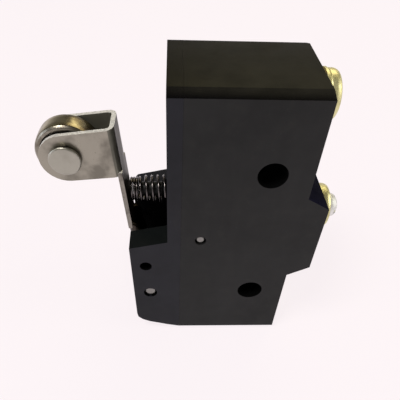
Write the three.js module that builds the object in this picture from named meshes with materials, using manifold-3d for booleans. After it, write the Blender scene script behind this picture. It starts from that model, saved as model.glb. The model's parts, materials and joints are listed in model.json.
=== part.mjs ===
// Snap-action limit switch with a short hinge roller lever, in millimetres.
// Origin: midway between the two mounting holes, on the front side face. +X runs towards the terminals,
// +Y through the thickness, +Z up along the long side, towards the roller end.
import * as THREE from "three";
import { mergeVertices } from "three/addons/utils/BufferGeometryUtils.js";
import Module from "manifold-3d";

const wasm = await Module();
wasm.setup();

// ---- driving dimensions ----
const T = 17.45; // thickness of the switch
const YM = T / 2; // mid-plane
const HALF = 24.6; // half length
const TOP_X = -14.6; // actuator-side surface of the cover
const SEAM_X = -12.5; // where the case begins
const SEAM_GAP = 0.12;
const LEDGE_X = 5.9; // seats of the two end terminals
const BLOCK_X = 9.45; // seat of the middle terminal
const BLOCK_FOOT = 8.56; // half length of the middle block at its foot
const BLOCK_HEAD = 6.53; // and at its seat
const BEVEL_Y = 1.8; // bevel along the end faces
const BEVEL_Z = 0.6;
const HOLE_R = 2.15; // mounting holes
const HOLE_Z = 12.7;
const WALL = 2.0; // side walls round the contact chamber
const FLOOR_X = -3.4; // chamber floor
const CHAMBER_Z = 21.4;

const PIVOT = { x: -17.69, z: -13.36 }; // lever pivot
const PIVOT_R = 1.05;
const SPARE_HOLE = { x: -18.23, z: -6.23, r: 1.0 }; // second, unused pivot hole
const CASE_PIN = { x: -9.39, z: -0.16, r: 0.75 };
const CHEEK = 4.0; // cheeks either side of the lever
const SLOT_END_Z = -18.6;
const REAR_CHEEK_Z = 0.9; // the rear cheek stands a little higher than the front one

const TILT = THREE.MathUtils.degToRad(4.5); // lever leans out by this much at rest
const SHEET = 0.7; // lever sheet
const WEB_IN = 2.05; // pivot axis to the near side of the web
const LEVER_W = 5.9;
const EAR_TOP = 29.65; // distances along the lever from the pivot
const EAR_LOW = 21.5;
const EAR_R = 3.95;
const AXLE = { a: 25.4, b: 9.8 }; // roller axle, along and out from the lever
const ROLLER_R = 4.75;
const ROLLER_W = 3.7;

const PLUNGER_Z = 3.3;
const PLUNGER_R = 1.2;
const PLUNGER_TOP = -19.2;
const WIRE_R = 0.2;
const GAP = 0.1;

const BLADE_X = -7.3;
const BLADE_T = 0.3;
const CONTACT_Z = 13.6;
const SCREW_Z = 20.3;
const STRIP_Z = 16.0;
const STRIP_T = 0.8;
const STRIP_W = 5.4;
const PLATE_T = 0.8; // terminal plates, let into the ledges
const PLATE_DROP = 0.6; // from the ledge down to the face of the plate
const PLATE_W = 8.0;
const SCREW_R = 1.7;
const HEAD_R = 3.6;
const BACKED_OFF = 1.2; // how far the upper screw stands undone

// ---- helpers ----
function solid(geometry) {
  const bare = geometry.clone();
  bare.deleteAttribute("normal");
  bare.deleteAttribute("uv");
  const merged = mergeVertices(bare, 1e-4);
  const index = merged.index.array;
  return new wasm.Manifold(new wasm.Mesh({
    numProp: 3,
    vertProperties: new Float32Array(merged.attributes.position.array),
    triVerts: new Uint32Array(index),
  }));
}

function geometryOf(made) {
  const m = made.getMesh();
  const xyz = new Float32Array(m.numVert * 3);
  for (let i = 0; i < m.numVert; i++) {
    for (let k = 0; k < 3; k++) xyz[i * 3 + k] = m.vertProperties[i * m.numProp + k];
  }
  const g = new THREE.BufferGeometry();
  g.setAttribute("position", new THREE.BufferAttribute(xyz, 3));
  g.setIndex(new THREE.BufferAttribute(new Uint32Array(m.triVerts), 1));
  g.computeVertexNormals();
  return g;
}

function shapeOf(points) {
  const s = new THREE.Shape();
  points.forEach(([x, y], i) => (i ? s.lineTo(x, y) : s.moveTo(x, y)));
  s.closePath();
  return s;
}

// An outline of [x, z] points, given thickness from y0 to y1.
function prismY(points, y0, y1) {
  const g = new THREE.ExtrudeGeometry(shapeOf(points), { depth: y1 - y0, bevelEnabled: false });
  g.rotateX(Math.PI / 2);
  g.translate(0, y1, 0);
  return solid(g);
}

// An outline of [y, z] points, given thickness from x0 to x1.
function prismX(points, x0, x1) {
  const g = new THREE.ExtrudeGeometry(shapeOf(points), { depth: x1 - x0, bevelEnabled: false });
  g.rotateY(Math.PI / 2);
  g.rotateX(Math.PI / 2);
  g.translate(x0, 0, 0);
  return solid(g);
}

function box(x0, x1, y0, y1, z0, z1) {
  const g = new THREE.BoxGeometry(x1 - x0, y1 - y0, z1 - z0);
  g.translate((x0 + x1) / 2, (y0 + y1) / 2, (z0 + z1) / 2);
  return solid(g);
}

function rodY(r, x, z, y0, y1, sides = 28) {
  const g = new THREE.CylinderGeometry(r, r, y1 - y0, sides);
  g.translate(x, (y0 + y1) / 2, z);
  return solid(g);
}

function rodX(r, y, z, x0, x1, sides = 28) {
  const g = new THREE.CylinderGeometry(r, r, x1 - x0, sides);
  g.rotateZ(-Math.PI / 2);
  g.translate((x0 + x1) / 2, y, z);
  return solid(g);
}

// A turned piece: [radius, height] points round the local Y axis.
function turned(points, sides = 32) {
  return new THREE.LatheGeometry(points.map(([r, h]) => new THREE.Vector2(r, h)), sides);
}

// The same, with its axis laid along +X at a given y and z.
function turnedX(points, y, z, sides = 32) {
  const g = turned(points, sides);
  g.rotateZ(-Math.PI / 2);
  g.translate(0, y, z);
  return solid(g);
}

function turnedY(points, x, z, sides = 32) {
  const g = turned(points, sides);
  g.translate(x, 0, z);
  return solid(g);
}

function arc(cx, cy, r, from, to, steps) {
  const points = [];
  for (let i = 0; i <= steps; i++) {
    const t = from + ((to - from) * i) / steps;
    points.push([cx + r * Math.cos(t), cy + r * Math.sin(t)]);
  }
  return points;
}

// ---- housing ----
function endBevels(length = 80) {
  return prismX([
    [0, -HALF + BEVEL_Z],
    [BEVEL_Y, -HALF],
    [T - BEVEL_Y, -HALF],
    [T, -HALF + BEVEL_Z],
    [T, HALF - BEVEL_Z],
    [T - BEVEL_Y, HALF],
    [BEVEL_Y, HALF],
    [0, HALF - BEVEL_Z],
  ], -length / 2, length / 2);
}

function caseBody() {
  const outline = [
    [SEAM_X, -24.02],
    [-9.6, -24.44],
    [-7.0, -HALF],
    [LEDGE_X, -HALF],
    [LEDGE_X, -BLOCK_FOOT],
    [BLOCK_X, -BLOCK_HEAD],
    [BLOCK_X, BLOCK_HEAD],
    [LEDGE_X, BLOCK_FOOT],
    [LEDGE_X, HALF],
    [SEAM_X, HALF],
  ];
  let made = prismY(outline, 0, T).intersect(endBevels());
  made = made.subtract(box(SEAM_X - 1, FLOOR_X, WALL, T - WALL, -CHAMBER_Z, CHAMBER_Z));
  for (const side of [-1, 1]) {
    made = made.subtract(rodY(HOLE_R, 0, side * HOLE_Z, -1, T + 1, 36));
    made = made.subtract(rodX(2.0, YM, side * SCREW_Z, 0.8, LEDGE_X + 1));
    made = made.subtract(platePocket(LEDGE_X, side * 15.85, side * 24.2));
    const z = side * (STRIP_Z + STRIP_T / 2);
    made = made.subtract(stripSlot(z, FLOOR_X - 1, LEDGE_X + 1));
  }
  made = made.subtract(rodX(2.0, YM, 0, 4.4, BLOCK_X + 1));
  made = made.subtract(platePocket(BLOCK_X, -4.95, 4.55));
  made = made.subtract(stripSlot(-4.4, FLOOR_X - 1, BLOCK_X + 1));
  return made.subtract(rodY(CASE_PIN.r + 0.15, CASE_PIN.x, CASE_PIN.z, -1, T + 1));
}

function stripSlot(z, x0, x1) {
  const w = STRIP_W / 2 + 0.2;
  const t = STRIP_T / 2 + 0.2;
  return box(x0, x1, YM - w, YM + w, z - t, z + t);
}

// The recess that a terminal plate lies in.
function platePocket(ledge, z0, z1) {
  const w = PLATE_W / 2 + 0.15;
  const floor = ledge - PLATE_DROP - PLATE_T - GAP;
  return box(floor, ledge + 1, YM - w, YM + w, Math.min(z0, z1), Math.max(z0, z1));
}

function coverBody() {
  const underside = SEAM_X - SEAM_GAP;
  const outline = [
    [underside, HALF],
    [TOP_X, HALF],
    [TOP_X, -0.5],
    [-20.74, -1.95],
    [-20.4, -19.8],
    [-20.2, -20.85],
    [-19.4, -21.7],
    [-18.07, -22.4],
    [TOP_X, -23.5],
    [underside, -24.0],
  ];
  const rearCheek = [
    [TOP_X + 0.5, -3],
    [TOP_X + 0.5, REAR_CHEEK_Z + 0.12],
    [TOP_X, REAR_CHEEK_Z],
    [-20.2, REAR_CHEEK_Z - 1.32],
    [-20.62, REAR_CHEEK_Z - 1.85],
    [-20.74, -3],
  ];
  let made = prismY(outline.reverse(), 0, T).intersect(endBevels());
  made = made.add(prismY(rearCheek, T - CHEEK, T));
  made = made.subtract(box(-30, TOP_X, CHEEK, T - CHEEK, SLOT_END_Z, 5));
  made = made.add(rodX(1.6, YM, PLUNGER_Z, TOP_X - 0.9, TOP_X + 0.5));
  made = made.add(locatingRim(underside));
  for (const y of [WALL + 0.3, T - WALL - 1.8]) {
    made = made.add(box(underside - 0.5, -8.2, y, y + 1.5, -2.2, 2.0));
  }
  made = made.subtract(rodX(PLUNGER_R + 0.15, YM, PLUNGER_Z, -18, -10));
  made = made.subtract(rodY(PIVOT_R + 0.12, PIVOT.x, PIVOT.z, -1, T + 1));
  made = made.subtract(rodY(SPARE_HOLE.r, SPARE_HOLE.x, SPARE_HOLE.z, -1, T + 1));
  return made.subtract(rodY(CASE_PIN.r + 0.15, CASE_PIN.x, CASE_PIN.z, -1, T + 1));
}

// A low rim under the cover that drops into the chamber and keeps the cover square.
function locatingRim(underside) {
  const y0 = WALL + 0.3;
  const z0 = CHAMBER_Z - 0.3;
  const outer = box(underside - 0.5, underside + 1.3, y0, T - y0, -z0, z0);
  const inner = box(underside - 1, underside + 2, y0 + 1, T - y0 - 1, -z0 + 1, z0 - 1);
  return outer.subtract(inner);
}

function casePin() {
  return rodY(CASE_PIN.r, CASE_PIN.x, CASE_PIN.z, 0.25, T - 0.25, 24);
}

function pivotPin() {
  const end = 0.3;
  return turnedY([
    [0, end],
    [PIVOT_R - 0.2, end],
    [PIVOT_R, end + 0.2],
    [PIVOT_R, T - end - 0.2],
    [PIVOT_R - 0.2, T - end],
    [0, T - end],
  ], PIVOT.x, PIVOT.z, 28);
}

// ---- lever and roller ----
// A point at distance a along the lever and b out from its pivot axis, as [x, z].
function onLever(a, b) {
  const x = PIVOT.x - b * Math.cos(TILT) - a * Math.sin(TILT);
  const z = PIVOT.z + a * Math.cos(TILT) - b * Math.sin(TILT);
  return [x, z];
}

// An outline of [a, b] points in the lever's own axes, from y0 to y1.
function leverPrism(points, y0, y1) {
  return prismY(points.map(([a, b]) => onLever(a, b)), y0, y1);
}

// A long bar along the lever whose cross-section is an outline of [b, y] points.
function leverBar(section, a0, a1) {
  const g = new THREE.ExtrudeGeometry(shapeOf(section), { depth: a1 - a0, bevelEnabled: false });
  const [x0, z0] = onLever(a0, 0);
  const along = new THREE.Vector3(-Math.sin(TILT), 0, Math.cos(TILT));
  const out = new THREE.Vector3(-Math.cos(TILT), 0, -Math.sin(TILT));
  const across = new THREE.Vector3().crossVectors(along, out);
  g.applyMatrix4(new THREE.Matrix4().makeBasis(out, across, along).setPosition(x0, YM, z0));
  return solid(g);
}

// A U section: back at b = back, legs reaching to b = reach, with rounded outer and inner corners.
function channel(back, reach) {
  const w = LEVER_W / 2;
  const s = Math.sign(reach - back);
  const ro = 1.3;
  const ri = ro - SHEET;
  const side = [];
  for (let i = 0; i <= 5; i++) {
    const t = (i / 5) * (Math.PI / 2);
    side.push([back + s * (ro - ro * Math.cos(t)), w - ro + ro * Math.sin(t)]);
  }
  const inner = [];
  for (let i = 0; i <= 3; i++) {
    const t = (i / 3) * (Math.PI / 2);
    inner.push([back + s * (ro - ri * Math.cos(t)), w - ro + ri * Math.sin(t)]);
  }
  const upper = [...side, [reach, w], [reach, w - SHEET], ...inner.reverse()];
  const lower = upper.map(([b, y]) => [b, -y]).reverse();
  const loop = [...upper, ...lower];
  return THREE.ShapeUtils.area(loop.map(([x, y]) => new THREE.Vector2(x, y))) < 0
    ? loop.reverse()
    : loop;
}

function leverBody() {
  const y0 = YM - LEVER_W / 2;
  const y1 = YM + LEVER_W / 2;
  const ear = [
    [EAR_LOW, WEB_IN - 0.2],
    ...arc(AXLE.a - 0.15, AXLE.b, EAR_R, -Math.PI, 0, 16).map(([a, b]) => [a, 2 * AXLE.b - b]),
    [EAR_TOP, WEB_IN - 0.2],
  ];
  const head = leverBar(channel(WEB_IN, AXLE.b + 6), EAR_LOW - 1, EAR_TOP + 1)
    .intersect(leverPrism(ear, y0 - 1, y1 + 1));
  const foot = [
    [-2.0, WEB_IN + SHEET + 0.2],
    ...arc(0, 0, 1.95, Math.PI, 2 * Math.PI, 10),
    [2.6, 0.3],
    [9.6, 0.8],
    [10.9, 1.4],
    [11.8, WEB_IN + SHEET + 0.2],
  ];
  const hinge = leverBar(channel(WEB_IN + SHEET, -4), -3, 12.4)
    .intersect(leverPrism(foot, y0 - 1, y1 + 1));
  const strip = leverPrism([
    [10.4, WEB_IN],
    [10.4, WEB_IN + SHEET],
    [EAR_LOW + 0.6, WEB_IN + SHEET],
    [EAR_LOW + 0.6, WEB_IN],
  ], y0 + 0.2, y1 - 0.2);
  const [ax, az] = onLever(AXLE.a, AXLE.b);
  return head.add(hinge).add(strip)
    .subtract(rodY(1.42, ax, az, y0 - 1, y1 + 1))
    .subtract(rodY(PIVOT_R + 0.1, PIVOT.x, PIVOT.z, y0 - 1, y1 + 1));
}

// Axle of the roller, a rivet with a flat disc head on each ear.
function rollerAxle() {
  const [x, z] = onLever(AXLE.a, AXLE.b);
  const half = LEVER_W / 2;
  const head = half + GAP;
  const outer = half + 0.95;
  return turnedY([
    [0, YM - outer],
    [2.05, YM - outer],
    [2.4, YM - outer + 0.25],
    [2.4, YM - head],
    [1.3, YM - head],
    [1.3, YM + head],
    [2.4, YM + head],
    [2.4, YM + outer - 0.25],
    [2.05, YM + outer],
    [0, YM + outer],
  ], x, z, 28);
}

function roller() {
  const [x, z] = onLever(AXLE.a, AXLE.b);
  const w = ROLLER_W / 2;
  return turnedY([
    [1.38, YM - w],
    [ROLLER_R - 0.3, YM - w],
    [ROLLER_R, YM - w + 0.3],
    [ROLLER_R, YM + w - 0.3],
    [ROLLER_R - 0.3, YM + w],
    [1.38, YM + w],
    [1.38, YM - w],
  ], x, z, 40);
}

// ---- return spring and plunger ----
class Coil extends THREE.Curve {
  constructor(turns, place) {
    super();
    this.turns = turns;
    this.place = place;
  }

  getPoint(t, target = new THREE.Vector3()) {
    const { x, r } = this.place(t * this.turns);
    const angle = t * this.turns * 2 * Math.PI;
    return target.set(x, YM + r * Math.cos(angle), PLUNGER_Z + r * Math.sin(angle));
  }
}

function returnSpring() {
  const closed = 3; // turns laid side by side next to the lever
  const open = 4.5; // wider, open turns next to the cover
  const start = -20.6;
  const end = TOP_X - GAP - WIRE_R;
  const tight = 0.42;
  const mid = start + closed * tight;
  const place = (turn) => {
    const s = Math.max(0, (turn - closed) / open);
    const widen = THREE.MathUtils.smoothstep(turn, closed - 0.3, closed + 0.9);
    const x = turn < closed ? start + turn * tight : mid + s * (end - mid);
    return { x, r: 1.75 + 0.27 * widen + 0.1 * s };
  };
  const section = new THREE.Shape();
  section.absarc(0, 0, WIRE_R, 0, 2 * Math.PI, false);
  const g = new THREE.ExtrudeGeometry(section, {
    steps: 120,
    curveSegments: 3,
    bevelEnabled: false,
    extrudePath: new Coil(closed + open, place),
  });
  return solid(g);
}

function plunger() {
  return turnedX([
    [0, PLUNGER_TOP],
    [0.8, PLUNGER_TOP],
    [PLUNGER_R, PLUNGER_TOP + 0.35],
    [PLUNGER_R, -12.0],
    [2.1, -12.0],
    [2.1, -11.0],
    [PLUNGER_R, -11.0],
    [PLUNGER_R, -7.8],
    [0.7, BLADE_X - 0.12],
    [0, BLADE_X - 0.12],
  ], YM, PLUNGER_Z, 24);
}

// ---- contacts ----
function strip(x0, x1, z0, z1, width = STRIP_W) {
  return box(x0, x1, YM - width / 2, YM + width / 2, z0, z1);
}

// A terminal plate, let into the ledge, with the hole for its screw.
function plate(ledge, z0, z1, screwZ) {
  const top = ledge - PLATE_DROP;
  return strip(top - PLATE_T, top, z0, z1, PLATE_W)
    .subtract(rodX(SCREW_R + 0.15, YM, screwZ, ledge - 3, ledge + 2));
}

function terminalCommon() {
  const z = -STRIP_Z - STRIP_T;
  return plate(LEDGE_X, -23.8, -STRIP_Z, -SCREW_Z)
    .add(strip(-4.6, LEDGE_X - PLATE_DROP, z, -STRIP_Z))
    .add(strip(-4.6, -3.8, z, -9.2))
    .add(strip(-6.88, -4.2, -13.9, -13.1))
    .add(strip(-6.9, -4.2, -9.9, -9.2, 2.4));
}

function terminalOpen() {
  return plate(BLOCK_X, -4.8, 4.4, 0)
    .add(strip(-4.4, BLOCK_X - PLATE_DROP, -4.8, -4.0))
    .add(strip(-4.4, -3.6, -4.8, 15.4))
    .subtract(rodX(0.85, YM, CONTACT_Z, -6, -3));
}

function terminalClosed() {
  return plate(LEDGE_X, STRIP_Z, 23.8, SCREW_Z)
    .add(strip(-9.8, LEDGE_X - PLATE_DROP, STRIP_Z, STRIP_Z + STRIP_T))
    .add(strip(-9.8, -9.0, 11.8, STRIP_Z + STRIP_T))
    .subtract(rodX(0.85, YM, CONTACT_Z, -11, -8));
}

// A silver contact: a disc head from x0 to x1 with a shank that ends at x2.
function fixedContact(headFar, headNear, shank) {
  const head = rodX(1.5, YM, CONTACT_Z, Math.min(headFar, headNear), Math.max(headFar, headNear), 24);
  return head.add(rodX(0.75, YM, CONTACT_Z, Math.min(headNear, shank), Math.max(headNear, shank), 24));
}

function contactClosed() {
  return fixedContact(-8.2, -8.9, -9.8);
}

function contactOpen() {
  return fixedContact(-5.05, -4.5, -3.6);
}

// Snap blade: a flat spring whose bowed tongue pushes against the common terminal's anchor.
function movingBlade() {
  const far = BLADE_X + BLADE_T;
  let made = strip(BLADE_X, far, -13.9, 15.5, 5.2);
  made = made.subtract(strip(BLADE_X - 1, far + 1, -10.4, 0.9, 2.8));
  const bow = [];
  const under = [];
  const steps = 10;
  for (let i = 0; i <= steps; i++) {
    const t = i / steps;
    const z = 1.4 - 10.3 * t;
    const x = BLADE_X + 1.5 * Math.sin(Math.PI * 0.86 * t);
    bow.push([x, z]);
    under.push([x + BLADE_T, z]);
  }
  const loop = [...bow, ...under.reverse()];
  made = made.add(prismY(loop, YM - 1.1, YM + 1.1));
  return made.subtract(rodX(0.8, YM, CONTACT_Z, -9, -5));
}

function movingContact() {
  const far = BLADE_X + BLADE_T;
  return rodX(1.5, YM, CONTACT_Z, BLADE_X - 0.75, BLADE_X - 0.05, 24)
    .add(rodX(1.5, YM, CONTACT_Z, far + 0.05, far + 0.75, 24))
    .add(rodX(0.7, YM, CONTACT_Z, BLADE_X - 0.2, far + 0.2, 24));
}

// ---- terminal screws ----
// Cross recess cut in a head whose top is at x.
function crossSlot(x, z, size) {
  const w = 0.5;
  return box(x - 0.9, x + 1, YM - w, YM + w, z - size, z + size)
    .add(box(x - 0.9, x + 1, YM - size, YM + size, z - w, z + w));
}

// The underside of a clamp washer that stands `lift` off its plate.
function washerFoot(ledge, lift) {
  return ledge - PLATE_DROP + 0.05 + lift;
}

function terminalScrew(z, lift) {
  const head = washerFoot(LEDGE_X, lift) + 0.55;
  const top = head + 1.85;
  const tail = head - 4.6;
  return turnedX([
    [0, tail],
    [SCREW_R - 0.4, tail],
    [SCREW_R, tail + 0.5],
    [SCREW_R, head],
    [HEAD_R, head],
    [HEAD_R, top - 0.8],
    [HEAD_R - 0.25, top - 0.3],
    [HEAD_R - 0.85, top],
    [0, top],
  ], YM, z, 32).subtract(crossSlot(top, z, 1.7));
}

function clampWasher(z, lift) {
  const x = washerFoot(LEDGE_X, lift);
  return turnedX([
    [SCREW_R + 0.15, x],
    [HEAD_R + 0.15, x],
    [HEAD_R + 0.15, x + 0.5],
    [SCREW_R + 0.15, x + 0.5],
    [SCREW_R + 0.15, x],
  ], YM, z, 32);
}

// The middle terminal: a brass cup washer and a narrow plated head that stands prouder.
function cupWasher() {
  const x = washerFoot(BLOCK_X, 0);
  return turnedX([
    [SCREW_R + 0.15, x],
    [3.3, x],
    [3.75, x + 0.7],
    [3.75, x + 3.0],
    [3.5, x + 3.5],
    [3.1, x + 3.5],
    [2.85, x + 3.0],
    [2.65, x + 1.4],
    [SCREW_R + 0.15, x + 1.4],
    [SCREW_R + 0.15, x],
  ], YM, 0, 32);
}

function middleScrew() {
  const head = washerFoot(BLOCK_X, 0) + 1.45;
  const top = 14.4;
  const tail = head - 5.6;
  return turnedX([
    [0, tail],
    [SCREW_R - 0.4, tail],
    [SCREW_R, tail + 0.5],
    [SCREW_R, head],
    [2.1, head],
    [2.1, top - 1.2],
    [1.9, top - 0.5],
    [1.4, top - 0.1],
    [0.9, top],
    [0, top],
  ], YM, 0, 32).subtract(box(top - 0.8, top + 1, YM - 3, YM + 3, -0.35, 0.35));
}

// ---- assembly ----
const group = new THREE.Group();

function add(name, made, color, roughness, metalness) {
  const material = new THREE.MeshStandardMaterial({ color, roughness, metalness });
  const mesh = new THREE.Mesh(geometryOf(made), material);
  mesh.name = name;
  group.add(mesh);
}

const PHENOLIC = 0x2c2c2c;
const STEEL = 0xa8a39c;
const BRASS = 0xc9b25a;
const COPPER = 0xb87848;
const SILVER = 0xd9d9d6;

add("case", caseBody(), PHENOLIC, 0.6, 0);
add("cover", coverBody(), PHENOLIC, 0.55, 0);
add("case_pin", casePin(), SILVER, 0.4, 1);
add("pivot_pin", pivotPin(), SILVER, 0.4, 1);
add("lever", leverBody(), STEEL, 0.35, 1);
add("roller_axle", rollerAxle(), STEEL, 0.3, 1);
add("roller", roller(), 0xb5ad86, 0.25, 1);
add("return_spring", returnSpring(), 0x5a5652, 0.3, 1);
add("plunger", plunger(), 0x161616, 0.5, 0);
add("terminal_common", terminalCommon(), BRASS, 0.4, 1);
add("terminal_open", terminalOpen(), BRASS, 0.4, 1);
add("terminal_closed", terminalClosed(), BRASS, 0.4, 1);
add("contact_open", contactOpen(), SILVER, 0.3, 1);
add("contact_closed", contactClosed(), SILVER, 0.3, 1);
add("moving_blade", movingBlade(), COPPER, 0.35, 1);
add("moving_contact", movingContact(), SILVER, 0.3, 1);
add("washer_common", clampWasher(-SCREW_Z, 0), BRASS, 0.35, 1);
add("washer_closed", clampWasher(SCREW_Z, BACKED_OFF), BRASS, 0.35, 1);
add("washer_open", cupWasher(), BRASS, 0.35, 1);
add("screw_common", terminalScrew(-SCREW_Z, 0), BRASS, 0.3, 1);
add("screw_closed", terminalScrew(SCREW_Z, BACKED_OFF), BRASS, 0.3, 1);
add("screw_open", middleScrew(), 0xd4d4d0, 0.35, 1);

export default group;
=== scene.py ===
"""Limit switch with a short hinge roller lever: looks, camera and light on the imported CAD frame."""
import json
import math

import bmesh  # noqa: E402
import bpy  # noqa: E402
from mathutils import Matrix, Vector, noise  # noqa: E402


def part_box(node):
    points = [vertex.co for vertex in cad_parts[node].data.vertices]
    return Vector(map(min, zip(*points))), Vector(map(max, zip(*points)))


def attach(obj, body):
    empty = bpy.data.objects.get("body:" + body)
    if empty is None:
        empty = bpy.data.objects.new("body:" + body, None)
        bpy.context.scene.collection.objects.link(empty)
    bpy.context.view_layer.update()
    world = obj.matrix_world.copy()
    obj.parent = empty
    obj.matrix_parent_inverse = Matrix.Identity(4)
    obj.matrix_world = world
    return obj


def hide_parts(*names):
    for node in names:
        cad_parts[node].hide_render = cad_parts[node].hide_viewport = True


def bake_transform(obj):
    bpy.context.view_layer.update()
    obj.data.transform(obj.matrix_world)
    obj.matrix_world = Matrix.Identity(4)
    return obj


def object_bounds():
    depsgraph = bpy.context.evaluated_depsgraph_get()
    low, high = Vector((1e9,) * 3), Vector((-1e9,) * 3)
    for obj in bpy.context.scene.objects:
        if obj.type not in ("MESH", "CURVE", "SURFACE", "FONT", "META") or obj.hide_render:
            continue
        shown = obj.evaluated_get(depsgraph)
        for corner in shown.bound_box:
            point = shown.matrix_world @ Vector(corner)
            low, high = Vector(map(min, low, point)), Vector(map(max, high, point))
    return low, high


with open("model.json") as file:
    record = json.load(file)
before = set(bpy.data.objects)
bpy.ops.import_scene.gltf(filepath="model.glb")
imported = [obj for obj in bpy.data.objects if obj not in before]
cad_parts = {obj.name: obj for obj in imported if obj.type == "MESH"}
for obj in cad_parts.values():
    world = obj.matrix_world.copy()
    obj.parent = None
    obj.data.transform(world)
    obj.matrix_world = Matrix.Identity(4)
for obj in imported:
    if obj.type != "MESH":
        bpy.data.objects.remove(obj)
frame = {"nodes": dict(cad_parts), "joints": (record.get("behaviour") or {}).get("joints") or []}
CAD_LO, CAD_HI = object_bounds()
NODES = frame["nodes"]
MM = 0.001
JOINT = {j["name"]: j for j in frame["joints"]}


# ---------------------------------------------------------------- camera
def make_camera():
    """The photograph's viewing angle, with a shift small enough for every other view."""
    data = bpy.data.cameras.new("camera")
    cam = bpy.data.objects.new("camera", data)
    bpy.context.scene.collection.objects.link(cam)
    right = Vector((0.9991, -0.0285, 0.0316)).normalized()
    look = Vector((0.0425, 0.7013, -0.7121))
    look = (look - right * look.dot(right)).normalized()
    up = right.cross(look)
    turn = Matrix((right, up, -look)).transposed()
    cam.matrix_world = Matrix.Translation(Vector((-13.8, -47.55, 49.1)) * MM) @ turn.to_4x4()
    data.sensor_width = 36
    data.lens = 39.2
    data.shift_x = 0.0225
    data.shift_y = 0.092
    data.clip_start = 0.002
    data.clip_end = 20
    bpy.context.scene.camera = cam


make_camera()


# ---------------------------------------------------------------- materials
def set_stops(ramp, stops):
    """Fills a colour ramp with (position, colour) stops."""
    bar = ramp.color_ramp
    while len(bar.elements) < len(stops):
        bar.elements.new(0.5)
    for element, (at, colour) in zip(bar.elements, stops):
        element.position = at
        element.color = (*colour, 1)


class Nodes:
    """Short calls for building one material's node tree."""

    def __init__(self, name):
        self.mat = bpy.data.materials.new(name)
        self.mat.use_nodes = True
        self.tree = self.mat.node_tree
        self.tree.nodes.clear()
        self.bsdf = self.add("ShaderNodeBsdfPrincipled")
        self.join(self.bsdf, "BSDF", self.add("ShaderNodeOutputMaterial"), "Surface")
        self.coord = self.add("ShaderNodeTexCoord")

    def add(self, kind, **values):
        node = self.tree.nodes.new(kind)
        for key, value in values.items():
            setattr(node, key, value)
        return node

    def join(self, a, out, b, into):
        self.tree.links.new(a.outputs[out], b.inputs[into])

    def stretched(self, scale):
        """Object coordinates, scaled per axis."""
        mapping = self.add("ShaderNodeMapping")
        mapping.inputs["Scale"].default_value = scale
        self.join(self.coord, "Object", mapping, "Vector")
        return mapping

    def noise(self, scale, detail=4.0, rough=0.55, distort=0.0, vector=None):
        tex = self.add("ShaderNodeTexNoise")
        tex.inputs["Scale"].default_value = scale
        tex.inputs["Detail"].default_value = detail
        tex.inputs["Roughness"].default_value = rough
        tex.inputs["Distortion"].default_value = distort
        if vector is None:
            self.join(self.coord, "Object", tex, "Vector")
        else:
            self.join(vector, "Vector", tex, "Vector")
        return tex

    def ramp(self, source, stops):
        """The source's Fac turned into colours."""
        ramp = self.add("ShaderNodeValToRGB")
        set_stops(ramp, stops)
        self.join(source, "Fac", ramp, "Fac")
        return ramp

    def span(self, source, lo, hi, low=0.3, high=0.7, out="Fac"):
        """The source's output between low and high, turned into lo to hi."""
        rng = self.add("ShaderNodeMapRange")
        rng.inputs["From Min"].default_value = low
        rng.inputs["From Max"].default_value = high
        rng.inputs["To Min"].default_value = lo
        rng.inputs["To Max"].default_value = hi
        self.join(source, out, rng, "Value")
        return rng.outputs["Result"]

    def mix(self, factor, a, b):
        """Colour a blended into colour b; each argument is a plain value or a socket."""
        mix = self.add("ShaderNodeMix", data_type="RGBA")
        if isinstance(factor, (int, float)):
            mix.inputs[0].default_value = factor
        else:
            self.tree.links.new(factor, mix.inputs[0])
        for value, slot in ((a, 6), (b, 7)):
            if isinstance(value, tuple):
                mix.inputs[slot].default_value = (*value, 1)
            else:
                self.tree.links.new(value, mix.inputs[slot])
        return mix.outputs[2]

    def bump(self, layers):
        """layers of (height output, strength, distance in mm), stacked."""
        last = None
        for height, strength, distance in layers:
            node = self.add("ShaderNodeBump")
            node.inputs["Strength"].default_value = strength
            node.inputs["Distance"].default_value = distance * MM
            self.tree.links.new(height, node.inputs["Height"])
            if last is not None:
                self.join(last, "Normal", node, "Normal")
            last = node
        self.join(last, "Normal", self.bsdf, "Normal")

    def colour(self, output):
        self.tree.links.new(output, self.bsdf.inputs["Base Color"])

    def rough(self, output):
        self.tree.links.new(output, self.bsdf.inputs["Roughness"])


BLACK = (0, 0, 0)
WHITE = (1, 1, 1)
DULL_Z = -0.022
GLOSSY_Z = 0.006


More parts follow.
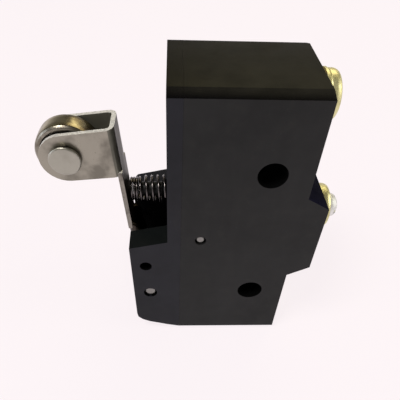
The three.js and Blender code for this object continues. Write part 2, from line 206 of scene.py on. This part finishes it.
def phenolic(name, tone, warm, rough_lo, rough_hi, shine=0.2):
    """Moulded black phenolic: mottled filler, flow lines, fine grain and rubbed patches.

    Its gloss is half as strong at the height DULL_Z as it is at GLOSSY_Z, both in metres.
    """
    n = Nodes(name)
    height = n.add("ShaderNodeSeparateXYZ")
    n.join(n.coord, "Object", height, "Vector")
    gloss = n.span(height, shine * 0.5, shine, DULL_Z, GLOSSY_Z, "Z")
    n.tree.links.new(gloss, n.bsdf.inputs["Specular IOR Level"])
    mottle = n.noise(420, 6, 0.6)
    cloud = n.noise(60, 3, 0.5, 0.4)
    dim = tuple(t * 0.72 for t in tone)
    base = n.ramp(mottle, [(0.32, dim), (0.52, tone), (0.75, warm)])
    flow = n.noise(150, 4, 0.6, 1.2, n.stretched((1, 1, 0.16)))
    streak = n.ramp(flow, [(0.55, BLACK), (0.78, WHITE)])
    pale = tuple(t * 2.4 for t in tone)
    grey = tuple(t * 9 for t in tone)
    rubbed = n.mix(n.span(cloud, 0.0, 0.45, 0.42, 0.72), base.outputs["Color"], pale)
    lined = n.mix(n.span(streak, 0.0, 0.25, 0.0, 1.0, "Color"), rubbed, pale)
    specks = n.noise(2600, 2, 0.5)
    dust = n.ramp(specks, [(0.70, BLACK), (0.76, WHITE)])
    n.colour(n.mix(n.span(dust, 0, 0.22, 0, 1, "Color"), lined, grey))
    n.rough(n.span(n.noise(240, 5, 0.65), rough_lo, rough_hi, 0.3, 0.72))
    grain = n.noise(5200, 3, 0.6)
    n.bump([
        (cloud.outputs["Fac"], 0.25, 0.05),
        (flow.outputs["Fac"], 0.22, 0.03),
        (grain.outputs["Fac"], 0.35, 0.012),
    ])
    return n.mat


def brushed(name, tone, dark, along, rough_lo, rough_hi, line=0.35, stain=0.5, metal=1.0):
    """Metal with soft stains and fine lines that run along the axis where `along` is smallest."""
    n = Nodes(name)
    n.bsdf.inputs["Metallic"].default_value = metal
    lines = n.noise(1.0, 5, 0.7, 0, n.stretched(along))
    stains = n.noise(230, 4, 0.55, 0.1)
    pits = n.noise(1500, 3, 0.6)
    light = tuple(min(1, t * 1.08) for t in tone)
    base = n.ramp(stains, [(0.36, dark), (0.52, tone), (0.8, light)])
    soft = n.mix(stain, tone, base.outputs["Color"])
    spots = n.ramp(pits, [(0.66, BLACK), (0.74, WHITE)])
    n.colour(n.mix(n.span(spots, 0, 0.45, 0, 1, "Color"), soft, dark))
    n.rough(n.span(lines, rough_lo, rough_hi))
    n.bump([(lines.outputs["Fac"], line, 0.006), (pits.outputs["Fac"], 0.12, 0.01)])
    return n.mat


def sheared(name, tone):
    """The torn edge of a punched sheet: bright, pitted and rough."""
    n = Nodes(name)
    n.bsdf.inputs["Metallic"].default_value = 0.35
    torn = n.noise(2600, 5, 0.75)
    burr = n.noise(700, 4, 0.6)
    n.colour(n.ramp(torn, [(0.35, tuple(t * 0.55 for t in tone)), (0.6, tone)]).outputs["Color"])
    n.rough(n.span(burr, 0.3, 0.55))
    n.bump([(burr.outputs["Fac"], 0.6, 0.05), (torn.outputs["Fac"], 0.7, 0.03)])
    return n.mat


def turned_metal(name, tone, dark, centre, axis, rough_lo, rough_hi, ring=0.3):
    """Lathe-turned metal: fine rings about an axis through `centre`."""
    n = Nodes(name)
    n.bsdf.inputs["Metallic"].default_value = 1.0
    shift = n.add("ShaderNodeMapping")
    shift.inputs["Location"].default_value = tuple(-c for c in centre)
    n.join(n.coord, "Object", shift, "Vector")
    wave = n.add("ShaderNodeTexWave", wave_type="RINGS", rings_direction=axis)
    wave.inputs["Scale"].default_value = 900
    wave.inputs["Distortion"].default_value = 1.5
    wave.inputs["Detail"].default_value = 3
    wave.inputs["Detail Scale"].default_value = 2
    n.join(shift, "Vector", wave, "Vector")
    tarnish = n.noise(380, 5, 0.6, 0.6)
    fine = n.noise(2400, 3, 0.6)
    light = tuple(min(1, t * 1.1) for t in tone)
    base = n.ramp(tarnish, [(0.34, dark), (0.55, tone), (0.8, light)])
    n.colour(base.outputs["Color"])
    n.rough(n.span(tarnish, rough_hi, rough_lo, 0.32, 0.68))
    n.bump([(wave.outputs["Fac"], ring, 0.004), (fine.outputs["Fac"], 0.15, 0.006)])
    return n.mat


# Name, tone, warmer tone, least and most roughness, and where it differs the gloss.
MOULDINGS = {
    "case": ("case_black", (0.0070, 0.0070, 0.0071), (0.0110, 0.0108, 0.0098), 0.28, 0.44),
    "cover": ("cover_black", (0.0062, 0.0064, 0.0095), (0.0090, 0.0090, 0.0110), 0.28, 0.42),
    # The end tone is painted light: it stands in for warm light falling on the flat end.
    "end": ("case_end", (0.0050, 0.0043, 0.0019), (0.0062, 0.0054, 0.0026), 0.3, 0.46, 0.03),
    # The band tone is painted shade on the end's two bevels.
    "band": ("case_band", (0.0009, 0.0008, 0.0012), (0.0014, 0.0013, 0.0018), 0.3, 0.45, 0.02),
    # Painted shade for the mounting holes, the lever's slot and the cross holes.
    "deep": ("moulding_deep", (0.0012, 0.0012, 0.0012), (0.0018, 0.0018, 0.0017), 0.6, 0.8, 0.03),
    # Painted shade in dark navy on the middle block's upper slope.
    "step": ("moulding_step", (0.0016, 0.0016, 0.0078), (0.0022, 0.0022, 0.0082), 0.5, 0.7, 0.01),
    # Painted shade on the top of the cover's front cheek.
    "shade": ("moulding_shade", (0.0024, 0.0032, 0.0032), (0.0040, 0.0046, 0.0044), 0.35, 0.5, 0.09),
    "plunger": ("plunger_black", (0.005, 0.005, 0.005), (0.008, 0.008, 0.008), 0.35, 0.5),
}
# Name, tone, darker tone, noise scale along x, y and z, least and most roughness.
METALS = {
    "lever": ("lever_steel", (0.32, 0.298, 0.25), (0.165, 0.152, 0.126), (500, 500, 60), 0.26, 0.42),
    # Lever steel darkened as painted shade on the web strip's sides.
    "strip_shade": ("lever_strip_shade", (0.27, 0.25, 0.22), (0.045, 0.038, 0.032), (900, 900, 900), 0.3, 0.5),
    # Painted shade inside the U between the ears and on the bends near its corner.
    "hollow_shade": ("lever_hollow_shade", (0.15, 0.145, 0.115), (0.08, 0.075, 0.058), (500, 500, 60), 0.35, 0.5),
    # Lever steel darkened as painted shade on the foot, the inside of the web and its back face.
    "inner_shade": ("lever_inside_shade", (0.050, 0.040, 0.033), (0.02, 0.016, 0.013), (500, 500, 60), 0.35, 0.5),
    "pin": ("pin_steel", (0.25, 0.242, 0.23), (0.165, 0.16, 0.15), (500, 60, 500), 0.3, 0.45),
    "spring": ("spring_steel", (0.135, 0.12, 0.118), (0.06, 0.052, 0.05), (900, 300, 300), 0.18, 0.3),
    "strip": ("terminal_brass", (0.62, 0.50, 0.20), (0.40, 0.30, 0.12), (60, 500, 500), 0.28, 0.45),
    "blade": ("blade_copper", (0.60, 0.36, 0.20), (0.40, 0.22, 0.12), (500, 500, 60), 0.25, 0.4),
    "silver": ("contact_silver", (0.78, 0.77, 0.73), (0.5, 0.49, 0.46), (500, 500, 500), 0.25, 0.4),
}
METAL_EXTRAS = {"lever": {"stain": 0.85}, "strip_shade": {"stain": 0.9}, "hollow_shade": {"metal": 0.45}}

MAT = {key: phenolic(*values) for key, values in MOULDINGS.items()}
for key, values in METALS.items():
    MAT[key] = brushed(*values, **METAL_EXTRAS.get(key, {}))
MAT["edge"] = sheared("lever_edge", (0.80, 0.78, 0.74))


# ---------------------------------------------------------------- mesh helpers
WELD = 2e-6
FLAT = math.radians(0.6)


def place(mesh, name, materials, smooth=35):
    obj = bpy.data.objects.new(name, mesh)
    bpy.context.scene.collection.objects.link(obj)
    for m in materials if isinstance(materials, (list, tuple)) else [materials]:
        obj.data.materials.append(m)
    if smooth:
        shade(obj, smooth)
    return obj


def shade(obj, degrees):
    mesh = obj.data
    for p in mesh.polygons:
        p.use_smooth = True
    mesh.set_sharp_from_angle(angle=math.radians(degrees))


def apply_modifiers(obj):
    graph = bpy.context.evaluated_depsgraph_get()
    made = bpy.data.meshes.new_from_object(obj.evaluated_get(graph))
    obj.modifiers.clear()
    old = obj.data
    obj.data = made
    bpy.data.meshes.remove(old)
    return obj


def bevel(obj, width, segments=3, angle=30):
    mod = obj.modifiers.new("edges", "BEVEL")
    mod.width = width * MM
    mod.segments = segments
    mod.limit_method = "ANGLE"
    mod.angle_limit = math.radians(angle)
    mod.use_clamp_overlap = True
    apply_modifiers(obj)


def soften(obj, degrees):
    """Smooth shading in which the large flat faces stay flat."""
    shade(obj, degrees)
    mod = obj.modifiers.new("normals", "WEIGHTED_NORMAL")
    mod.keep_sharp = True
    return apply_modifiers(obj)


def copy_of(node, name, materials, width, segments=3, angle=30, smooth=38):
    """A finished copy of a CAD node: flat faces joined up, edges rounded."""
    mesh = NODES[node].data.copy()
    mesh.materials.clear()
    bm = bmesh.new()
    bm.from_mesh(mesh)
    bmesh.ops.remove_doubles(bm, verts=bm.verts, dist=WELD)
    bmesh.ops.dissolve_limit(bm, angle_limit=FLAT, verts=bm.verts, edges=bm.edges)
    for f in bm.faces:
        f.smooth = True
    bm.to_mesh(mesh)
    bm.free()
    if "custom_normal" in mesh.attributes:
        mesh.attributes.remove(mesh.attributes["custom_normal"])
    obj = place(mesh, name, materials, 0)
    if width:
        bevel(obj, width, segments, angle)
        return soften(obj, smooth)
    shade(obj, smooth)
    return obj


def lathe(name, profile, centre, axis, materials, sides=96):
    """A closed profile of (radius, height) in mm, turned about an axis through centre in metres."""
    bm = bmesh.new()
    rings = []
    for r, h in profile:
        if r < 1e-6:
            rings.append([bm.verts.new(turn_point(0, h, 0, axis))])
        else:
            rings.append([
                bm.verts.new(turn_point(r, h, 2 * math.pi * i / sides, axis)) for i in range(sides)
            ])
    loop = list(zip(rings, rings[1:]))
    if len(rings[0]) > 1 or len(rings[-1]) > 1:
        loop.append((rings[-1], rings[0]))
    for a, b in loop:
        for i in range(sides):
            j = (i + 1) % sides
            corners = [a[i % len(a)], a[j % len(a)], b[j % len(b)], b[i % len(b)]]
            unique = list(dict.fromkeys(corners))
            if len(unique) > 2:
                bm.faces.new(unique)
    bmesh.ops.recalc_face_normals(bm, faces=bm.faces)
    mesh = bpy.data.meshes.new(name)
    bm.to_mesh(mesh)
    bm.free()
    mesh.transform(Matrix.Translation(centre))
    return place(mesh, name, materials)


def turn_point(r, h, t, axis):
    """A point at radius r and height h in mm, turned by t about the axis X or Y, in metres."""
    c, s = r * math.cos(t) * MM, r * math.sin(t) * MM
    return (h * MM, c, s) if axis == "X" else (c, h * MM, s)


def mirrored(half):
    """A profile from one end to its middle, carried on to the other end."""
    return half + [(r, -h) for r, h in reversed(half[:-1])]


def rounded(points, radius, steps=4):
    """Rounds the corners of an open profile whose ends stay where they are."""
    out = [points[0]]
    for a, b, c in zip(points, points[1:], points[2:]):
        va, vb, vc = (Vector(p) for p in (a, b, c))
        d = min(radius, (va - vb).length * 0.45, (vc - vb).length * 0.45)
        p, q = vb + (va - vb).normalized() * d, vb + (vc - vb).normalized() * d
        for i in range(steps + 1):
            t = i / steps
            out.append(tuple(p.lerp(vb, t).lerp(vb.lerp(q, t), t)))
    out.append(points[-1])
    return out


def cut(obj, *tools):
    """Takes the tools away from the object and deletes them."""
    for tool in tools:
        mod = obj.modifiers.new("cut", "BOOLEAN")
        mod.operation = "DIFFERENCE"
        mod.solver = "EXACT"
        mod.object = tool
        apply_modifiers(obj)
        bpy.data.objects.remove(tool)


def block(x0, x1, y0, y1, z0, z1):
    """A cutting box, corners in metres."""
    bm = bmesh.new()
    bmesh.ops.create_cube(bm, size=1)
    for v in bm.verts:
        v.co = Vector((
            x0 if v.co.x < 0 else x1,
            y0 if v.co.y < 0 else y1,
            z0 if v.co.z < 0 else z1,
        ))
    mesh = bpy.data.meshes.new("tool")
    bm.to_mesh(mesh)
    bm.free()
    return place(mesh, "tool", [], 0)


def tint(obj, choose):
    """Gives each face the material whose index choose(centre in mm, normal) returns."""
    for p in obj.data.polygons:
        p.material_index = choose(p.center / MM, p.normal)


def finish_piece(obj, body, slot, *nodes):
    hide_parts(*nodes)
    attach(obj, body)


def middle(node):
    lo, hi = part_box(node)
    return (lo + hi) / 2


def about_y(node):
    """Of a node turned about Y: its centre in metres, its radius and half its length in mm."""
    lo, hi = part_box(node)
    return (lo + hi) / 2, (hi.z - lo.z) / 2 / MM, (hi.y - lo.y) / 2 / MM


def about_x(node):
    """Of a node turned about X: its axis in metres, then its radius, lowest x and highest x in mm."""
    lo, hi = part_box(node)
    axis = Vector((0, (lo.y + hi.y) / 2, (lo.z + hi.z) / 2))
    return axis, (hi.z - lo.z) / 2 / MM, lo.x / MM, hi.x / MM


# ---------------------------------------------------------------- housing
# All in mm.
HOLE_Z = 12.7  # the mounting holes, either side of the middle
HOLE_R = 2.4  # a little over their radius
SLOPE_X = (6, 9.4)  # the upper slope of the middle block
SLOPE_Z = 5
COVER_X = -14.7  # only the hinge block lies beyond this
SLOT_Y = (3.9, 13.6)  # the lever's slot between the two cheeks
CROSS_X = (-19.3, -16.5)  # the cross holes through the cheeks
CROSS_Z = (-14.5, -5.1)
CHEEK_Z = -3  # below the upper end of the front cheek
SEAM = -12.5  # where the case begins
END_Z = 23.9  # where the bevels of the end face begin

# Places in a housing's list of materials: plain moulding, then painted shade in holes and slot,
# painted shade on a top face, painted light on the flat end and painted shade on its bevels.
PLAIN, DEEP_SHADE, TOP_SHADE, END_LIGHT, BAND_SHADE = range(5)


def end_shade_and_light(c, n):
    """The flat end is painted an olive tone that stands in for warm light on it, and is duller than
    the sides; its two bevels are painted nearly black as shade.
    """
    if c.z < END_Z or n.z < 0.5:
        return PLAIN
    return END_LIGHT if n.z > 0.98 else BAND_SHADE


def case_shade_and_light(c, n):
    # Painted shade in the mounting holes and on the middle block's upper slope.
    if abs(n.y) < 0.1 and math.hypot(c.x, abs(c.z) - HOLE_Z) < HOLE_R:
        return DEEP_SHADE
    if n.z > 0.8 and SLOPE_X[0] < c.x < SLOPE_X[1] and c.z > SLOPE_Z:
        return TOP_SHADE
    return end_shade_and_light(c, n)


def cover_shade_and_light(c, n):
    # Painted shade in the lever's slot and cross holes and on the front cheek's top.
    in_slot = c.x < COVER_X and SLOT_Y[0] < c.y < SLOT_Y[1]
    in_holes = CROSS_X[0] < c.x < CROSS_X[1] and CROSS_Z[0] < c.z < CROSS_Z[1]
    if in_slot or (abs(n.y) < 0.1 and in_holes):
        return DEEP_SHADE
    if n.z > 0.9 and c.x < COVER_X and c.z > CHEEK_Z and c.y < SLOT_Y[0] + 0.2:
        return TOP_SHADE
    return end_shade_and_light(c, n)


def housing(node, name, top_shade, choose):
    """A housing half in its plain moulding and four painted tones of light and shade, with the seam
    closed so that no light comes through.
    """
    materials = [MAT[key] for key in (node, "deep", top_shade, "end", "band")]
    obj = copy_of(node, name, materials, 0)
    for v in obj.data.vertices:
        if SEAM - 0.2 < v.co.x / MM < SEAM - 0.05:
            v.co.x = (SEAM - 0.01) * MM
    tint(obj, choose)
    bevel(obj, 0.1)
    return soften(obj, 38)


finish_piece(housing("case", "case_shell", "step", case_shade_and_light), "base", "case_black", "case")
finish_piece(housing("cover", "cover_shell", "shade", cover_shade_and_light), "base", "cover_black", "cover")


def straight_pin(node, name, end):
    """A ground pin with rounded ends, slightly dished in the middle."""
    c, r, h = about_y(node)
    tip = [(0, -h + 0.03), (r * 0.35, -h), (r - end, -h), (r, -h + end), (r, 0)]
    return lathe(name, rounded(mirrored(tip), end * 0.6), c, "Y", MAT["pin"], 64)


finish_piece(straight_pin("case_pin", "case_rivet", 0.22), "base", "pin_steel", "case_pin")
finish_piece(straight_pin("pivot_pin", "hinge_pin", 0.25), "base", "pin_steel", "pivot_pin")


# ---------------------------------------------------------------- lever
PIVOT = Vector(JOINT["lever_hinge"]["pos_m"])
TILT = math.radians(4.5)
ALONG = Vector((-math.sin(TILT), 0, math.cos(TILT)))
OUT = Vector((-math.cos(TILT), 0, -math.sin(TILT)))
LEVER_Y = middle("lever").y

# In mm: A is along the lever from its pivot, B is out from the pivot.
FOOT_A = 12.6  # the hinge foot ends
EARS_A = 21.4  # the ears begin
WEB_B = (2.05, 2.75)  # the two faces of the web
CORNER_B = 3.4  # the rounded corner between web and ear ends

# Places in the lever's list of materials: plain sheet, sheared edge, and three tones of painted shade.
SHEET, EDGE, INNER_SHADE, STRIP_SHADE, HOLLOW_SHADE = range(5)


def lever_shade_and_edges(centre, normal):
    """Takes the centre in metres and the normal of one face of the lever; painted shade goes on the
    foot, the inside and the web's back, on the strip's sides and inside the U.
    """
    a = (centre - PIVOT).dot(ALONG) / MM
    b = (centre - PIVOT).dot(OUT) / MM
    facing = normal.dot(OUT)
    web = abs(facing) > 0.97 and min(abs(b - face) for face in WEB_B) < 0.05
    if b < WEB_B[0] - 0.01 or a < FOOT_A or (web and facing < 0):
        return INNER_SHADE
    if abs(normal.y) > 0.9 and a < EARS_A:
        return STRIP_SHADE
    if normal.y < -0.9 and centre.y > LEVER_Y:
        return HOLLOW_SHADE
    if abs(normal.y) < 0.12 and not web:
        return EDGE
    if facing < -0.2 and normal.y < -0.12 and b < CORNER_B:
        return HOLLOW_SHADE
    return SHEET


def lever_piece():
    materials = [MAT[key] for key in ("lever", "edge", "inner_shade", "strip_shade", "hollow_shade")]
    obj = copy_of("lever", "lever_sheet", materials, 0, smooth=30)
    for p in obj.data.polygons:
        p.material_index = lever_shade_and_edges(p.center, p.normal)
    bevel(obj, 0.09, 3, 40)
    return soften(obj, 38)


finish_piece(lever_piece(), "lever", "lever_steel", "lever")


# ---------------------------------------------------------------- roller and axle
def roller_piece():
    """A turned wheel with a shallow groove in each side and a tread of its own tone."""
    c, r, w = about_y("roller")
    half = [
        (1.38, -w + 0.12), (1.5, -w), (2.6, -w), (2.75, -w + 0.1), (3.75, -w + 0.1), (3.9, -w),
        (r - 0.42, -w), (r - 0.06, -w + 0.36), (r, -w + 1.1), (r, 0),
    ]
    tread = turned_metal(
        "roller_metal", (0.31, 0.27, 0.165), (0.13, 0.10, 0.062), c, "Y", 0.16, 0.3
    )
    sides = turned_metal(
        "roller_side", (0.29, 0.268, 0.225), (0.17, 0.15, 0.12), c, "Y", 0.2, 0.34
    )
    obj = lathe("roller_wheel", rounded(mirrored(half), 0.14), c, "Y", [tread, sides], 128)
    tint(obj, lambda centre, normal: 1 if abs(normal.y) > 0.6 else 0)
    return obj


def axle_piece():
    """The roller's rivet, its disc heads slightly out of round from the punch."""
    c, r, h = about_y("roller_axle")
    neck = h - 0.85
    half = [
        (0, -h + 0.04), (0.7, -h), (r - 0.22, -h + 0.02), (r, -h + 0.2), (r - 0.03, -h + 0.5),
        (r - 0.25, -neck), (1.3, -neck), (1.3, 0),
    ]
    material = brushed(
        "axle_steel", (0.37, 0.355, 0.305), (0.28, 0.265, 0.225), (420, 420, 420), 0.3, 0.46, line=0.25
    )
    obj = lathe("axle_rivet", rounded(mirrored(half), 0.1), c, "Y", material, 72)
    core, depth, scale = 0.6, 0.035, 420  # mm, mm, per metre
    for v in obj.data.vertices:
        d = v.co - c
        if math.hypot(d.x, d.z) / MM > core:
            wobble = noise.noise(Vector((d.x, d.y * 0.4, d.z)) * scale) * depth
            v.co += Vector((d.x, 0, d.z)).normalized() * wobble * MM
    return obj


finish_piece(roller_piece(), "roller", "roller_metal", "roller")
finish_piece(axle_piece(), "lever", "axle_steel", "roller_axle")


# ---------------------------------------------------------------- spring and plunger
# Lengths in mm.
WIRE_R = 0.2
COIL_R = 1.75  # of the closed turns, to the middle of the wire
COIL_WIDER = 0.27  # how much wider the open turns begin
COIL_TAPER = 0.1  # and how much they still widen on the way to the cover
CLOSED_PITCH = 0.42
CLOSED_TURNS = 3.0
OPEN_TURNS = 4.5
COIL_STEPS = 44  # per turn
WIRE_SIDES = 12


def coil_line():
    """The middle of the wire, from the closed turns at the lever to the wider open ones."""
    lo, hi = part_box("return_spring")
    c = (lo + hi) / 2
    start, end = lo.x / MM + WIRE_R, hi.x / MM - WIRE_R
    mid = start + CLOSED_TURNS * CLOSED_PITCH
    line = []
    for i in range(int((CLOSED_TURNS + OPEN_TURNS) * COIL_STEPS) + 1):
        turn = i / COIL_STEPS
        s = max(0.0, (turn - CLOSED_TURNS) / OPEN_TURNS)
        t = min(1.0, max(0.0, (turn - CLOSED_TURNS + 0.3) / 1.2))
        widen = t * t * (3 - 2 * t)
        x = start + turn * CLOSED_PITCH if turn < CLOSED_TURNS else mid + s * (end - mid)
        r = COIL_R + COIL_WIDER * widen + COIL_TAPER * s
        a = 2 * math.pi * turn
        line.append(Vector((x, c.y / MM + r * math.cos(a), c.z / MM + r * math.sin(a))) * MM)
    return line


def coil_piece():
    """A round wire swept along the coil's line, closed at both ends."""
    line = coil_line()
    bm = bmesh.new()
    rings = []
    for i, p in enumerate(line):
        ahead = line[min(i + 1, len(line) - 1)] - line[max(i - 1, 0)]
        ahead.normalize()
        side = ahead.cross(Vector((1, 0, 0))).normalized()
        other = ahead.cross(side).normalized()
        rings.append([
            bm.verts.new(p + (side * math.cos(q) + other * math.sin(q)) * WIRE_R * MM)
            for q in (2 * math.pi * k / WIRE_SIDES for k in range(WIRE_SIDES))
        ])
    for a, b in zip(rings, rings[1:]):
        for k in range(WIRE_SIDES):
            m = (k + 1) % WIRE_SIDES
            bm.faces.new((a[k], a[m], b[m], b[k]))
    bm.faces.new(rings[0])
    bm.faces.new(rings[-1])
    bmesh.ops.recalc_face_normals(bm, faces=bm.faces)
    mesh = bpy.data.meshes.new("return_coil")
    bm.to_mesh(mesh)
    bm.free()
    return place(mesh, "return_coil", MAT["spring"], 50)


coil = coil_piece()
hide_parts("return_spring")
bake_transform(coil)
plunger = copy_of("plunger", "plunger_pin", MAT["plunger"], 0.1)
finish_piece(plunger, "plunger", "plunger_black", "plunger")


# ---------------------------------------------------------------- contacts
for node, body, slot, material in (
    ("terminal_common", "base", "terminal_brass", "strip"),
    ("terminal_open", "base", "terminal_brass", "strip"),
    ("terminal_closed", "base", "terminal_brass", "strip"),
    ("contact_open", "base", "contact_silver", "silver"),
    ("contact_closed", "base", "contact_silver", "silver"),
    ("moving_contact", "blade", "contact_silver", "silver"),
    ("moving_blade", "blade", "blade_copper", "blade"),
):
    piece = copy_of(node, node + "_part", MAT[material], 0.06, 2, 40)
    finish_piece(piece, body, slot, node)


# ---------------------------------------------------------------- terminal screws
# All in mm.
SHANK_R = 1.7
WASHER_HOLE_R = 1.85
HEAD_DEPTH = 1.85  # of a brass screw
RECESS_DEPTH = 0.9  # its cross recess
RECESS_ARM = 1.7
RECESS_HALF_W = 0.45
SLOT_DEPTH = 0.8  # the pale screw's single slot
SLOT_HALF_W = 0.35


def brass(name, centre):
    return turned_metal(name, (0.66, 0.615, 0.335), (0.46, 0.425, 0.215), centre, "X", 0.36, 0.5)


def screw_head(node, name, material):
    """A pan head with a cross recess, over its shank."""
    c, r, tail, top = about_x(node)
    profile = [
        (0, tail), (1.25, tail), (SHANK_R, tail + 0.5), (SHANK_R, top - HEAD_DEPTH),
        (r - 0.12, top - HEAD_DEPTH), (r, top - 1.7), (r, top - 0.85), (r - 0.3, top - 0.28),
        (r - 1.1, top - 0.02), (0, top),
    ]
    obj = lathe(name, rounded(profile, 0.4, 6), c, "X", material)
    arm, w = RECESS_ARM * MM, RECESS_HALF_W * MM
    deep, above = (top - RECESS_DEPTH) * MM, (top + 1) * MM
    cut(
        obj,
        block(deep, above, c.y - w, c.y + w, c.z - arm, c.z + arm),
        block(deep, above, c.y - arm, c.y + arm, c.z - w, c.z + w),
    )
    bevel(obj, 0.07, 2, 50)
    shade(obj, 40)
    return obj


def plain_washer(node, name, material):
    c, r, a, b = about_x(node)
    hole = WASHER_HOLE_R
    profile = [(hole, a), (r, a), (r, b), (hole, b), (hole, (a + b) / 2)]
    return lathe(name, rounded(profile, 0.12), c, "X", material)


for side in ("common", "closed"):
    screw_c = middle("screw_" + side)
    finish_piece(
        screw_head("screw_" + side, "screw_head_" + side, brass("screw_brass_" + side, screw_c)),
        "turn_" + side, "screw_brass", "screw_" + side,
    )
    finish_piece(
        plain_washer("washer_" + side, "clamp_washer_" + side, brass("washer_brass_" + side, screw_c)),
        "clamp_" + side, "washer_brass", "washer_" + side,
    )


def cup_washer():
    """A washer with a turned-up rim, under the middle terminal's screw."""
    c, r, a, b = about_x("washer_open")
    hole = WASHER_HOLE_R
    profile = [
        (hole, a), (r - 0.45, a), (r, a + 0.7), (r, b - 0.5), (r - 0.22, b), (r - 0.62, b),
        (r - 0.9, b - 0.5), (r - 1.1, a + 1.4), (hole, a + 1.4), (hole, a + 0.6),
    ]
    return lathe("cup_washer", rounded(profile, 0.22, 5), c, "X", brass("cup_brass", c))


def plated_screw():
    """The middle terminal's pale screw, with a single slot across its smaller head."""
    c, r, tail, top = about_x("screw_open")
    neck = tail + 5.6
    profile = [
        (0, tail), (1.3, tail), (SHANK_R, tail + 0.5), (SHANK_R, neck), (r, neck),
        (r, top - 1.2), (r - 0.25, top - 0.5), (r - 0.8, top - 0.12), (0, top),
    ]
    material = turned_metal(
        "screw_plated", (0.76, 0.76, 0.74), (0.62, 0.62, 0.60), c, "X", 0.5, 0.62, ring=0.15
    )
    obj = lathe("plated_screw", rounded(profile, 0.5, 6), c, "X", material)
    across, w = 3 * MM, SLOT_HALF_W * MM
    deep, above = (top - SLOT_DEPTH) * MM, (top + 1) * MM
    cut(obj, block(deep, above, c.y - across, c.y + across, c.z - w, c.z + w))
    bevel(obj, 0.06, 2, 50)
    shade(obj, 40)
    return obj


finish_piece(cup_washer(), "clamp_open", "washer_brass", "washer_open")
finish_piece(plated_screw(), "turn_open", "screw_plated", "screw_open")


# ---------------------------------------------------------------- stage and light
FLOOR_R = 6  # metres, as is the gap under the object
FLOOR_GAP = 0.00005


def make_floor():
    """A pale sheet that glows a little, so that it stays even round the object."""
    bm = bmesh.new()
    bmesh.ops.create_circle(bm, cap_ends=True, radius=FLOOR_R, segments=96)
    mesh = bpy.data.meshes.new("floor")
    bm.to_mesh(mesh)
    bm.free()
    n = Nodes("floor_paper")
    n.bsdf.inputs["Base Color"].default_value = (0.09, 0.084, 0.086, 1)
    n.bsdf.inputs["Roughness"].default_value = 0.9
    n.bsdf.inputs["Specular IOR Level"].default_value = 0.1
    n.bsdf.inputs["Emission Color"].default_value = (1.0, 0.93, 0.955, 1)
    n.bsdf.inputs["Emission Strength"].default_value = 0.88
    floor = place(mesh, "floor", n.mat, 0)
    floor.location.z = CAD_LO.z - FLOOR_GAP


def make_world():
    """Pale low down and dark overhead, for the tones that the metal and gloss reflect."""
    world = bpy.data.worlds.new("studio")
    bpy.context.scene.world = world
    world.use_nodes = True
    tree = world.node_tree
    tree.nodes.clear()
    coord = tree.nodes.new("ShaderNodeTexCoord")
    parts = tree.nodes.new("ShaderNodeSeparateXYZ")
    ramp = tree.nodes.new("ShaderNodeValToRGB")
    back = tree.nodes.new("ShaderNodeBackground")
    out = tree.nodes.new("ShaderNodeOutputWorld")
    set_stops(ramp, [
        (0.0, (0.94, 0.88, 0.90)),
        (0.12, (0.62, 0.59, 0.60)),
        (0.4, (0.25, 0.24, 0.22)),
        (0.78, (0.17, 0.155, 0.12)),
        (0.93, (0.005, 0.005, 0.006)),
    ])
    tree.links.new(coord.outputs["Generated"], parts.inputs[0])
    tree.links.new(parts.outputs["Z"], ramp.inputs["Fac"])
    tree.links.new(ramp.outputs["Color"], back.inputs["Color"])
    tree.links.new(back.outputs["Background"], out.inputs["Surface"])


LAMP_TARGET = Vector((0, 0.009, 0))


def area(name, at, size, power, colour):
    """A rectangular lamp turned towards the object."""
    data = bpy.data.lights.new(name, "AREA")
    data.shape = "RECTANGLE"
    data.size, data.size_y = size
    data.energy = power
    data.color = colour
    lamp = bpy.data.objects.new(name, data)
    bpy.context.scene.collection.objects.link(lamp)
    lamp.location = at
    lamp.rotation_mode = "QUATERNION"
    lamp.rotation_quaternion = (LAMP_TARGET - Vector(at)).to_track_quat("-Z", "Y")


make_floor()
make_world()
area("back", at=(0.14, 0.36, 0.36), size=(0.34, 0.24), power=0.75, colour=(1.0, 0.90, 0.60))
area("key", at=(-0.20, -0.14, 0.48), size=(0.16, 0.16), power=2.2, colour=(1.0, 0.98, 0.95))
area("side", at=(0.42, -0.05, 0.22), size=(0.3, 0.3), power=1.0, colour=(1.0, 0.98, 0.90))
area("left", at=(-0.45, -0.10, 0.10), size=(0.15, 0.25), power=0.3, colour=(0.80, 0.88, 1.0))

view = bpy.context.scene.view_settings
view.view_transform = "Standard"
view.look = "None"
